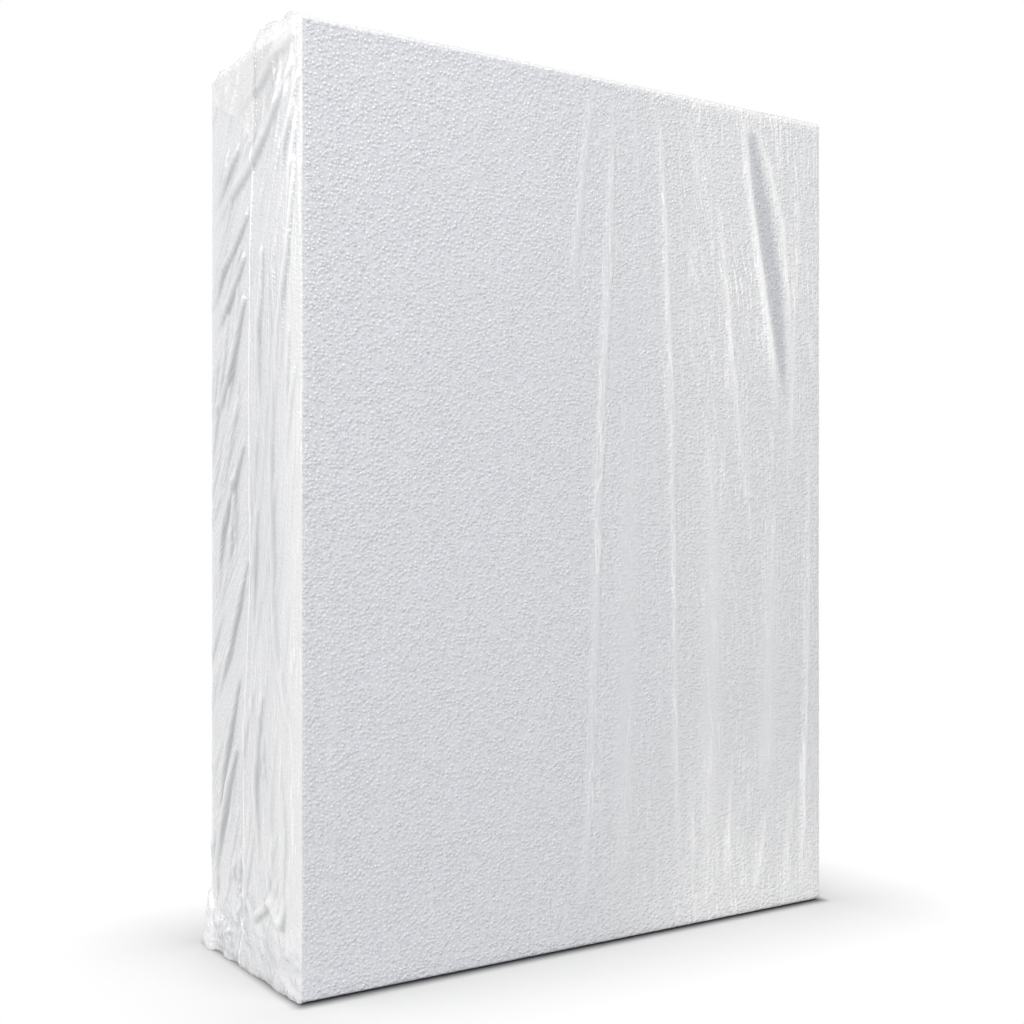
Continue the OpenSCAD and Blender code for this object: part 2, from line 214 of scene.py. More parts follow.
@dataclass(frozen=True)
class CutBeadFoam:
    """Expanded polystyrene, cut with a hot wire: matt white beads, each cut face tilted its own way."""

    colour: str = "#E7E9ED"
    # painted shade in the grooves between the beads
    painted_groove_shade_colour: str = "#D6D8DF"
    roughness: float = 0.55
    ior: float = 1.45
    beads: CutBeads = CutBeads()
    relief_mm: float = 0.63

    def material(self) -> Material:
        """Builds the foam's material.

        Returns:
            The material, on Object coordinates.
        """
        material, add = fresh_material("expanded_polystyrene_cut_beads")
        height, groove = self.beads.relief(add, add("TexCoord").outputs["Object"])
        bump = add("Bump", {"Height": height, "Distance": self.relief_mm * MM})
        # painted shade: the grooves between the beads are darker
        tone = add("Mix", {"Factor": groove, MIX_A: linear(self.painted_groove_shade_colour), MIX_B: linear(self.colour)},
                   data_type="RGBA").outputs[MIX_COLOUR]
        add("OutputMaterial", {"Surface": add("BsdfPrincipled", {
            "Base Color": tone, "Roughness": self.roughness, "IOR": self.ior, "Normal": bump})})
        return material


class FilmValue(Enum):
    """What the bag tells its finish at each point of the film."""

    HAZE = "haze"
    STREAK = "streak"
    CRUMPLE = "crumple"
    FROM_WELD = "from_weld"
    CLING = "cling"
    # painted shade on the film beside folds
    PAINTED_SHADE = "painted_shade"


@dataclass(frozen=True)
class ClearPolythene:
    """Blown polythene film: clear and glossy where it lies on the foam, milky where it is folded."""

    grain_map: str = "grain"
    colour: str = "#FBFBFC"
    # the grey of the painted shade on the film
    painted_shade_colour: str = "#C2C4C6"
    roughness: float = 0.4
    ior: float = 1.5
    gloss_roughness: float = 0.20
    gloss_straight: float = 0.045
    gloss_glancing: float = 0.5
    beads: CutBeads = CutBeads()
    print_mm: float = 0.52
    # a fine crease's width and length, how far and over what length it sways, a patch of them, their
    # depth and the haze that they add
    crease_width_mm: float = 5.0
    crease_run_mm: float = 76.923
    sway_mm: float = 12.0
    sway_run_mm: float = 83.333
    patch_mm: float = 71.428
    crease_mm: float = 1.44
    crease_haze: float = 0.45
    crumple_width_mm: float = 13.333
    crumple_mm: float = 2.4
    weld_mm: float = 1.1
    weld_haze: float = 0.6

    def material(self) -> Material:
        """Builds the film's material.

        Returns:
            The material, on Object coordinates, the film's grain map and its own values.
        """
        material, add = fresh_material("clear_polythene_film")
        value = {kind: add("Attribute", attribute_name=kind.value).outputs["Fac"] for kind in FilmValue}
        ridges, share, normal = self._relief(add, value)
        # painted shade: the film is greyed where a fold's shadow falls and in the tight film, both its milky
        # and its clear part
        milk_tone, clear_tone = [
            add("Mix", {"Factor": value[FilmValue.PAINTED_SHADE], MIX_A: linear(tone),
                        MIX_B: linear(self.painted_shade_colour)}, data_type="RGBA").outputs[MIX_COLOUR]
            for tone in (self.colour, WHITE)]
        milky = add("BsdfPrincipled", {"Base Color": milk_tone, "Roughness": self.roughness,
                                       "IOR": self.ior, "Normal": normal})
        clear = add("BsdfTransparent", {"Color": clear_tone})
        # creases scatter more light than smooth film, and the weld is two plies melted into a milky line
        crest = add("MapRange", {"Value": ridges, "From Min": 0.06, "From Max": 0.12,
                                 "To Max": self.crease_haze}, interpolation_type=SMOOTH)
        cloud = add("Math MULTIPLY_ADD", {0: crest, 1: share, 2: value[FilmValue.HAZE]})
        weld = add("MapRange", {"Value": value[FilmValue.FROM_WELD], "From Max": self.weld_mm * MM,
                                "To Min": self.weld_haze, "To Max": 0.0})
        cloud = add("Math ADD", {0: cloud, 1: weld}, use_clamp=True)
        body = add("MixShader", {0: cloud, 1: clear, 2: milky})
        # the same from both sides: a thin film has no inner reflection of its own
        facing = add("LayerWeight", {"Blend": 0.5, "Normal": normal}).outputs["Facing"]
        glance = add("Math POWER", {0: facing, 1: 3.0})
        gloss = add("Math MULTIPLY_ADD", {0: glance, 1: self.gloss_glancing, 2: self.gloss_straight})
        # plies pressed flat behind another one have no haze, and no gloss of their own
        free = add("Math MULTIPLY", {0: value[FilmValue.HAZE], 1: 50.0}, use_clamp=True)
        gloss = add("Math MULTIPLY", {0: gloss, 1: free})
        mirror = add("BsdfGlossy", {"Roughness": self.gloss_roughness, "Normal": normal})
        add("OutputMaterial", {"Surface": add("MixShader", {0: gloss, 1: body, 2: mirror})})
        return material

    def _relief(self, add: Callable[..., Node], value: dict[FilmValue, NodeSocket]
                ) -> tuple[Node, Node, Node]:
        """Adds the film's relief: fine creases, sharp crumples and the print of the beads.

        Args:
            add: what adds a node to the material.
            value: the film's values.

        Returns:
            The creases' ridges, how much they show, and the relief's normal.
        """
        place = add("TexCoord").outputs["Object"]
        grain = add("UVMap", uv_map=self.grain_map)
        # the creases run with the grain, wander a little and come in patches
        sway = add("TexNoise", {"Vector": grain, "Scale": 1 / (self.sway_run_mm * MM), "Detail": 1.0})
        aside = (self.sway_mm * MM, 0.0, 0.0)
        bent = add("VectorMath MULTIPLY_ADD", {0: sway.outputs["Color"], 1: aside, 2: grain})
        per_metre = (1 / (self.crease_width_mm * MM), 1 / (self.crease_run_mm * MM), 1.0)
        drawn = add("VectorMath MULTIPLY", {0: bent, 1: per_metre})
        lines = add("TexNoise", {"Vector": drawn, "Scale": 1.0, "Detail": 3.0, "Roughness": 0.6})
        ridges = add("Math PINGPONG", {0: lines, 1: 0.12})
        patches = add("TexNoise", {"Vector": place, "Scale": 1 / (self.patch_mm * MM), "Detail": 1.0})
        patchy = add("MapRange", {"Value": patches, "From Min": 0.36, "From Max": 0.62, "To Min": 0.25})
        share = add("Math MULTIPLY", {0: patchy, 1: value[FilmValue.STREAK]})
        creased = add("Math MULTIPLY", {0: ridges, 1: share})
        normal = add("Bump", {"Height": creased, "Distance": self.crease_mm * MM})
        # crumples come where the film is bunched
        bunched = add("TexNoise", {"Vector": place, "Scale": 1 / (self.crumple_width_mm * MM), "Detail": 3.0,
                                   "Distortion": 0.6})
        peaks = add("Math PINGPONG", {0: bunched, 1: 0.16})
        crumpled = add("Math MULTIPLY", {0: peaks, 1: value[FilmValue.CRUMPLE]})
        normal = add("Bump", {"Height": crumpled, "Distance": self.crumple_mm * MM, "Normal": normal})
        # the beads print through where the film clings
        beads, _ = self.beads.relief(add, place)
        pressed = add("Math MULTIPLY", {0: beads, 1: value[FilmValue.CLING]})
        normal = add("Bump", {"Height": pressed, "Distance": self.print_mm * MM, "Normal": normal})
        return ridges, share, normal


@dataclass(frozen=True)
class StudioPaper:
    """Seamless white paper: it takes the shadow close to the slab, has a painted contact shadow
    right at the slab's footprint, and is lit to plain white beyond.

    The footprint is half of the slab's width and depth.
    """

    footprint: tuple[float, float]
    colour: str = "#DCDCDC"
    # colour of the painted contact shadow
    painted_contact_shadow_colour: str = "#868688"
    shadow_reach: float = 0.100
    painted_contact_shadow_reach: float = 0.010
    bounce: float = 0.6

    def material(self) -> Material:
        """Builds the paper's material.

        Returns:
            The material, on Object coordinates.
        """
        material, add = fresh_material("white_studio_paper")
        mirrored = add("VectorMath ABSOLUTE", {0: add("TexCoord").outputs["Object"]})
        outside = add("VectorMath SUBTRACT", {0: mirrored, 1: (*self.footprint, 0.0)})
        outside = add("VectorMath MAXIMUM", {0: outside, 1: (0.0, 0.0, 0.0)})
        away = add("VectorMath LENGTH", {0: outside}).outputs["Value"]
        share = add("Math DIVIDE", {0: away, 1: self.shadow_reach}, use_clamp=True)
        lit = add("Math POWER", {0: share, 1: 0.6})
        # painted shadow: the paper is darker within a centimetre of the slab's footprint
        touch = add("MapRange", {"Value": away, "From Max": self.painted_contact_shadow_reach}, interpolation_type=SMOOTH)
        tone = add("Mix", {"Factor": touch, MIX_A: linear(self.painted_contact_shadow_colour), MIX_B: linear(self.colour)},
                   data_type="RGBA").outputs[MIX_COLOUR]
        paper = add("BsdfDiffuse", {"Color": tone})
        light = add("MapRange", {"Value": seen_directly(material.node_tree), "To Min": self.bounce})
        glow = add("Emission", {"Strength": light})
        add("OutputMaterial", {"Surface": add("MixShader", {0: lit, 1: paper, 2: glow})})
        return material


# ---- the slab


@dataclass
class FoamSlab:
    """The cut slab itself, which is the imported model's own solid."""

    node: Object
    finish: CutBeadFoam = field(default_factory=CutBeadFoam)

    def dress(self) -> Object:
        """Gives the slab its finish.

        Returns:
            The slab.
        """
        self.node.data.materials.clear()
        self.node.data.materials.append(self.finish.material())
        return self.node


# ---- the bag's folds


class Face(Enum):
    """The slab's faces, as the film lies over them."""

    FRONT = 0
    RIGHT = 1
    BACK = 2
    LEFT = 3
    TOP = 4
    UNDER = 5


@dataclass(frozen=True)
class Fold:
    """One fold of slack film: a ridge along a path, from tip to tip.

    Each station is (share across the face, share up it, width in mm, height in mm, lean). The two
    tips have only a place. Lean moves the crest from -1, the right foot, to 1, the left foot.
    """

    stations: tuple[tuple[float, ...], ...]

    def lift(self, across: Array, up: Array, wide: float, high: float, spread: float = 1.0
             ) -> Array:
        """Works out how far the fold lifts the film.

        Args:
            across: the points' distance from the face's left edge.
            up: their height on the face.
            wide: the face's width.
            high: its height.
            spread: how many times its own width the fold is taken to have.

        Returns:
            The lift at each point, in metres.
        """
        first, *middle, last = self.stations
        middle = [(x, y, width * spread, height, lean) for x, y, width, height, lean in middle]
        _, _, width, height, lean = middle[0]
        _, _, end_width, _, end_lean = middle[-1]
        path = [(*first, width * 0.6, height * 0.6, lean), *middle, (*last, end_width * 0.4, 0.0, end_lean)]
        lift = np.zeros_like(across)
        for (x0, y0, w0, h0, n0), (x1, y1, w1, h1, n1) in zip(path, path[1:]):
            ax, ay = x0 * wide, y0 * high
            dx, dy = x1 * wide - ax, y1 * high - ay
            reach = max(w0, w1) * MM
            run = math.hypot(dx, dy)
            near = ((across > min(ax, ax + dx) - reach) & (across < max(ax, ax + dx) + reach)
                    & (up > min(ay, ay + dy) - reach) & (up < max(ay, ay + dy) + reach))
            px, py = across[near] - ax, up[near] - ay
            k = (px * dx + py * dy) / run**2
            kc = np.clip(k, 0, 1)
            half = (w0 + (w1 - w0) * kc) * MM / 2
            side = (px * -dy + py * dx) / run
            off = np.sign(side) * np.hypot(side, (k - kc) * run) / half
            crest = 0.7 * (n0 + (n1 - n0) * kc)
            slope = np.where(off > crest, (1 - off) / (1 - crest), (1 + off) / (1 + crest))
            slope = np.clip(slope, 0, 1)
            rise = (h0 + (h1 - h0) * kc) * MM * slope**2 * (3 - 2 * slope)
            lift[near] = np.maximum(lift[near], rise)
        return lift


FRONT_FOLDS = tuple(map(Fold, (
    # the long fold left of the middle, and the one that fans down beside it
    ((0.539, 0.985), (0.535, 0.89, 9, 2.0, 0.3), (0.524, 0.74, 13, 2.4, 0.5), (0.509, 0.56, 12, 2.4, 0.5),
     (0.502, 0.36, 11, 2.2, 0.6), (0.491, 0.17, 12, 2.0, 0.6), (0.474, 0.012)),
    ((0.500, 0.985), (0.484, 0.92, 9, 2.2, 0.3), (0.464, 0.79, 10, 1.8, 0.2), (0.472, 0.67)),
    # the long fold right of the middle
    ((0.620, 0.987), (0.637, 0.95, 6, 1.8, -0.3), (0.648, 0.84, 8, 2.3, -0.4), (0.658, 0.68, 9, 2.0, -0.4),
     (0.665, 0.46, 8, 1.6, -0.3), (0.670, 0.22, 10, 1.6, -0.2), (0.678, 0.03)),
    # the deep fold by the right edge and the one that meets it
    ((0.822, 0.985), (0.834, 0.90, 9, 2.2, -0.4), (0.862, 0.79, 10, 2.6, -0.5), (0.887, 0.70, 10, 2.4, -0.5),
     (0.900, 0.60)),
    ((0.839, 0.985), (0.878, 0.93, 8, 1.8, 0.4), (0.908, 0.86, 9, 2.0, 0.4), (0.924, 0.75, 7, 1.6, 0.3),
     (0.930, 0.64)),
    # folds between and right of the long ones
    ((0.580, 0.985), (0.585, 0.93, 7, 1.2, 0), (0.598, 0.83)),
    ((0.696, 0.975), (0.714, 0.92, 7, 1.4, 0.2), (0.728, 0.86)),
    ((0.682, 0.83), (0.708, 0.79, 6, 1.2, 0), (0.730, 0.75)),
    ((0.765, 0.87), (0.778, 0.77, 8, 1.4, 0.2), (0.795, 0.66, 9, 1.4, 0.2), (0.822, 0.53, 7, 1.1, 0.2),
     (0.857, 0.41)),
    # the tight film by the right edge
    ((0.903, 0.985), (0.905, 0.94, 5, 1.2, 0), (0.909, 0.88)),
    ((0.949, 0.89), (0.937, 0.75, 7, 1.4, -0.2), (0.931, 0.62, 7, 1.2, -0.2), (0.926, 0.49)),
    ((0.958, 0.985), (0.962, 0.93, 5, 1.0, 0), (0.955, 0.86)),
    ((0.812, 0.519), (0.835, 0.521, 4, 1.2, 0.3), (0.858, 0.519)),
    # the lap down the right edge
    ((0.975, 0.60), (0.972, 0.42, 6, 1.6, -0.6), (0.968, 0.27, 6, 2.2, -0.7), (0.960, 0.12, 6, 2.4, -0.7),
     (0.953, 0.012)),
    # short folds rising from the foot
    ((0.700, 0.19), (0.706, 0.10, 8, 1.0, 0), (0.704, 0.012)),
    ((0.792, 0.20), (0.785, 0.10, 8, 1.2, 0), (0.778, 0.012)),
    ((0.868, 0.12), (0.855, 0.06, 8, 1.3, 0.3), (0.840, 0.012)),
    ((0.925, 0.14), (0.918, 0.06, 7, 1.0, 0), (0.912, 0.012)),
    # soft swells in the slack film
    ((0.042, 0.44), (0.042, 0.30, 20, 0.8, 0), (0.044, 0.12, 22, 0.8, 0), (0.042, 0.012)),
    ((0.130, 0.42), (0.129, 0.27, 18, 0.7, 0), (0.132, 0.12, 22, 0.8, 0), (0.130, 0.012)),
    ((0.575, 0.62), (0.570, 0.40, 36, 1.0, 0), (0.565, 0.20, 36, 1.0, 0), (0.560, 0.012)),
    ((0.745, 0.58), (0.750, 0.40, 36, 1.0, 0), (0.742, 0.18, 33, 1.0, 0), (0.738, 0.012)),
    ((0.885, 0.50), (0.880, 0.36, 30, 1.0, 0), (0.872, 0.20, 30, 1.0, 0), (0.866, 0.13)),
)))

LEFT_FOLDS = tuple(map(Fold, (
    # the ear's crumpled film, and the tight fold that runs off it
    ((0.90, 0.960), (0.75, 0.933, 13, 1.3, 0.4), (0.575, 0.900, 14, 1.4, 0.4), (0.475, 0.883, 13, 1.3, 0.4),
     (0.25, 0.857, 12, 1.2, 0.4), (0.04, 0.830)),
    ((0.925, 0.985), (0.75, 0.980, 12, 1.1, 0), (0.425, 0.950, 12, 1.0, 0.2), (0.30, 0.935)),
    ((0.96, 0.945), (0.83, 0.885, 7, 1.6, 0), (0.77, 0.835)),
    ((0.94, 0.905), (0.89, 0.855, 6, 1.5, 0), (0.82, 0.800)),
    ((0.34, 0.905), (0.20, 0.880, 8, 1.8, 0), (0.04, 0.845)),
    # diagonals off the weld, in the upper half
    ((0.45, 0.827), (0.30, 0.795, 8, 2.0, 0.3), (0.15, 0.773, 8, 2.0, 0.3), (0.03, 0.733)),
    ((0.42, 0.780), (0.22, 0.733, 9, 2.0, 0.3), (0.05, 0.707)),
    ((0.42, 0.733), (0.25, 0.653, 10, 2.3, 0.4), (0.05, 0.607)),
    # diagonals off the weld, in the lower half
    ((0.42, 0.573), (0.28, 0.525, 9, 2.0, 0.3), (0.15, 0.480, 10, 2.0, 0.3), (0.05, 0.400)),
    ((0.32, 0.533), (0.28, 0.480, 7, 1.8, 0), (0.22, 0.420)),
    ((0.45, 0.447), (0.36, 0.390, 8, 2.0, 0.3), (0.25, 0.340, 9, 1.8, 0.3), (0.07, 0.280)),
    ((0.40, 0.313), (0.30, 0.255, 9, 2.0, 0.4), (0.20, 0.200, 8, 2.0, 0.4), (0.03, 0.120)),
    ((0.38, 0.233), (0.30, 0.195, 11, 2.4, 0.4), (0.22, 0.160, 10, 2.4, 0.4), (0.03, 0.075)),
    # folds between the weld and the front edge
    ((0.925, 0.860), (0.86, 0.770, 7, 1.2, 0), (0.77, 0.690, 8, 1.2, 0), (0.74, 0.600)),
    ((0.735, 0.680), (0.715, 0.550, 6, 1.1, -0.3), (0.725, 0.400, 7, 1.0, -0.3), (0.775, 0.347, 8, 0.9, -0.3),
     (0.863, 0.293, 8, 0.7, -0.4), (0.937, 0.260)),
    ((0.812, 0.233), (0.830, 0.185, 7, 0.7, 0), (0.837, 0.133)),
    ((0.56, 0.500), (0.53, 0.440, 8, 1.5, 0), (0.54, 0.360)),
    ((0.62, 0.780), (0.58, 0.690, 8, 1.5, 0), (0.60, 0.590)),
    ((0.64, 0.300), (0.60, 0.200, 8, 1.6, 0), (0.63, 0.110)),
    # the crumpled foot
    ((0.60, 0.060), (0.75, 0.087, 7, 2.0, 0), (0.825, 0.067, 7, 1.8, 0), (0.85, 0.105)),
    ((0.475, 0.075), (0.44, 0.055, 7, 2.0, 0), (0.42, 0.033)),
)))


# how the grain of the front's fine creases runs: each line's place across the face at these heights
GRAIN_HEIGHTS = (0.0, 0.25, 0.50, 0.70, 0.85, 1.0)
GRAIN_PATHS = ((-0.02, -0.02, -0.02, -0.02, -0.02, -0.02), (0.30, 0.30, 0.30, 0.30, 0.30, 0.30),
               (0.474, 0.494, 0.506, 0.520, 0.531, 0.541), (0.680, 0.669, 0.663, 0.657, 0.647, 0.616),
               (0.800, 0.800, 0.792, 0.770, 0.742, 0.700), (0.905, 0.905, 0.903, 0.886, 0.848, 0.818),
               (1.02, 1.02, 1.02, 1.02, 1.02, 1.02))

# film pulled tight between two folds: clear, without creases, and greyed a little by painted shade
TIGHT_FILM = Fold(((0.838, 0.965), (0.862, 0.88, 22, 1.0, 0), (0.888, 0.79, 22, 1.0, 0),
                   (0.905, 0.70, 13, 1.0, 0), (0.916, 0.63)))

# the left weld's path: (height, place from the back edge), both as shares of the side
WELD_PATH = ((0.02, 0.413), (0.11, 0.40), (0.20, 0.388), (0.30, 0.413), (0.44, 0.475), (0.60, 0.45),
             (0.78, 0.462), (0.88, 0.498), (0.985, 0.500))


@dataclass(frozen=True)
class StrayFolds:
    """A patch of small chance folds, all running much the same way.

    The area is (left, low, right, high) in shares of the face. Slant is the run to the right, in mm,
    for each 100 mm that a fold goes down.
    """

    count: int
    area: tuple[float, float, float, float]
    slant: float
    spread: float
    run_mm: tuple[float, float]
    width_mm: tuple[float, float]
    height_mm: tuple[float, float]

    def folds(self, seed: int, wide: float, high: float) -> list[Fold]:
        """Scatters the folds over their area.

        Args:
            seed: the seed of their chance.
            wide: the face's width.
            high: the face's height.

        Returns:
            The folds.
        """
        chance = random.Random(seed)
        left, low, right, top = self.area
        made = []
        for _ in range(self.count):
            run = chance.uniform(*self.run_mm) * MM
            way = (self.slant + chance.gauss(0, self.spread)) / 100
            x, y = chance.uniform(left, right), chance.uniform(low, top)
            dx, dy = way * run / math.hypot(way, 1), -run / math.hypot(way, 1)
            width, lean = chance.uniform(*self.width_mm), chance.uniform(-0.5, 0.5)
            height = chance.uniform(*self.height_mm)
            bow = chance.uniform(-0.08, 0.08) * run
            places = [(x + (dx * k + bow * math.sin(math.pi * k)) / wide, y + dy * k / high)
                      for k in (0.0, 0.3, 0.65, 1.0)]
            made.append(Fold((places[0], places[1] + (width, height, lean),
                              places[2] + (width * 0.8, height * 0.8, lean), places[3])))
        return made


STRAY_FOLDS = {
    Face.FRONT: (
        StrayFolds(26, (0.44, 0.55, 0.80, 0.96), 8, 8, (25, 110), (3, 7), (0.3, 0.8)),
        StrayFolds(34, (0.74, 0.40, 0.97, 0.96), 16, 12, (20, 90), (3, 6), (0.4, 1.1)),
        StrayFolds(30, (0.10, 0.93, 0.60, 0.985), -60, 40, (10, 40), (4, 7), (0.6, 1.5)),
        StrayFolds(16, (0.64, 0.05, 0.97, 0.22), -4, 12, (20, 60), (4, 8), (0.3, 0.9)),
        StrayFolds(14, (0.50, 0.15, 0.76, 0.60), -3, 5, (60, 160), (4, 8), (0.2, 0.6)),
    ),
    Face.LEFT: (
        StrayFolds(40, (0.08, 0.10, 0.44, 0.95), -55, 22, (30, 110), (3, 8), (0.4, 1.3)),
        StrayFolds(40, (0.46, 0.10, 0.96, 0.90), -14, 14, (30, 130), (2.5, 6), (0.3, 0.9)),
        StrayFolds(26, (0.04, 0.90, 0.96, 0.985), -60, 30, (20, 60), (4, 9), (0.3, 0.9)),
        StrayFolds(26, (0.04, 0.03, 0.90, 0.13), 40, 60, (12, 45), (3, 8), (0.5, 1.6)),
    ),
    Face.RIGHT: (
        StrayFolds(36, (0.50, 0.05, 0.95, 0.95), 50, 25, (30, 110), (5, 12), (0.6, 1.8)),
        StrayFolds(36, (0.05, 0.05, 0.50, 0.95), -50, 25, (30, 110), (5, 12), (0.6, 1.8)),
    ),
    Face.BACK: (
        StrayFolds(46, (0.04, 0.20, 0.96, 0.97), 4, 9, (60, 260), (10, 20), (0.8, 2.2)),
        StrayFolds(24, (0.04, 0.04, 0.96, 0.25), 0, 20, (20, 60), (10, 16), (0.6, 1.6)),
    ),
    Face.TOP: (
        StrayFolds(34, (0.05, 0.15, 0.95, 0.92), 12, 30, (20, 70), (5, 11), (0.6, 1.8)),
    ),
}


# how much higher and wider the folds of a face are drawn than their stations say
RELIEF_GAIN = {Face.LEFT: 1.5, Face.FRONT: 0.6}
FOLD_SPREAD = {Face.LEFT: 1.3, Face.FRONT: 0.9}

# the main folds of a face, and how much higher and wider its folds are drawn than they say
MAIN_FOLDS = {Face.FRONT: FRONT_FOLDS, Face.LEFT: LEFT_FOLDS}
RELIEF_GAIN = {Face.LEFT: 1.5, Face.FRONT: 0.6}
FOLD_SPREAD = {Face.LEFT: 1.3, Face.FRONT: 0.9}

# the loose film over the top left edge: (share from the front, rise in mm)
CROWN_RISE_MM = ((0.0, 1.2), (0.055, 3.8), (0.13, 6.4), (0.22, 7.2), (0.31, 8.4), (0.36, 7.6), (0.415, 8.6),
                 (0.47, 4.4), (0.56, 1.5), (0.68, 1.0), (0.80, 2.0), (0.90, 1.2), (1.0, 0.3))

# the loose film at the foot of the left side: (share from the back, mm out) and (share, mm high)
HEM_REACH_MM = ((-0.02, 3.5), (0.0, 5.6), (0.12, 7.0), (0.22, 4.6), (0.30, 3.2), (0.42, 1.6), (0.52, 2.0),
                (0.66, 0.9), (0.78, 1.1), (0.97, 0.2), (1.0, 0.0))
HEM_HIGH_MM = ((0.0, 38.0), (0.13, 24.0), (0.31, 20.0), (0.56, 23.0), (0.75, 24.0), (0.87, 19.0), (1.0, 3.0))

# sharp little ridges of bunched film: (how many to a metre, height in mm)
BUNCH_RIDGES = ((32.0, 1.6), (75.0, 0.9), (150.0, 0.4))

# faint waviness: how many waves to a metre, level and upright, and its depth in mm
WAVES = (70, 70, 22)
WAVE_DEPTH_MM = {Face.FRONT: 0.12, Face.UNDER: 0.0}

# how milky a single ply is on each face, an ear's flap, and the front's slack, brim, foot and left edge
FACE_HAZE = {Face.FRONT: 0.03, Face.LEFT: 0.60, Face.RIGHT: 0.45, Face.BACK: 0.18, Face.TOP: 0.06}
FLAP_HAZE = 0.68
SLACK_HAZE, BRIM_HAZE, FOOT_HAZE, EDGE_HAZE = 0.62, 0.2, 0.40, 0.5
# the lift that makes a fold wholly milky, on the front and elsewhere
FRONT_MILKY_LIFT, MILKY_LIFT = 0.006, 0.025

# the sheet's lines: their distances from a fold, and where the evenly spaced ones start
CLOSE_LINES = (0.0008, 0.0018, 0.0032)
OPEN_LINES = 0.005
# how far apart the upright ones are then, on the front, the right side and the back
COLUMN_STEPS = (0.0025, 0.0075, 0.0080)
# the level ones by the foot: how far apart, and how far up
FOOT_STEP, FOOT_REACH = 0.0018, 0.045
# how many lines half a narrow side, the mouth and the film above its foot have
SIDE_LINES, MOUTH_LINES, UPPER_LINES = 38, 8, 176
# a fold's rounding: (place as a share of the bend, weight)
BEND_STEPS = ((-1.0, 0.15), (-0.5, 0.22), (0.0, 0.26), (0.5, 0.22), (1.0, 0.15))
# over this length from its corner a ply comes to lie at its full distance
PLY_EASE = 0.003
# how far under the slab the film lies
UNDER_GAP = 0.0001


@dataclass(frozen=True)
class FilmPoints:
    """Where the film's points lie, on the flat sheet and on the slab's faces.

    Along is the distance round the bag from the left weld, up the one from the mouth's edge, across
    the one from the face's left edge, and height the one from its foot. The face is its number.
    """

    along: Array
    up: Array
    face: Array
    across: Array
    height: Array

    def on(self, *faces: Face) -> Array:
        """Tells which points lie on these faces."""
        return np.isin(self.face, [face.value for face in faces])

    def by_face(self, values: dict[Face, Array | float], other: Array | float) -> Array:
        """Gives each point the value of its face, and points on further faces the other one."""
        return np.select([self.on(face) for face in values], list(values.values()), other)


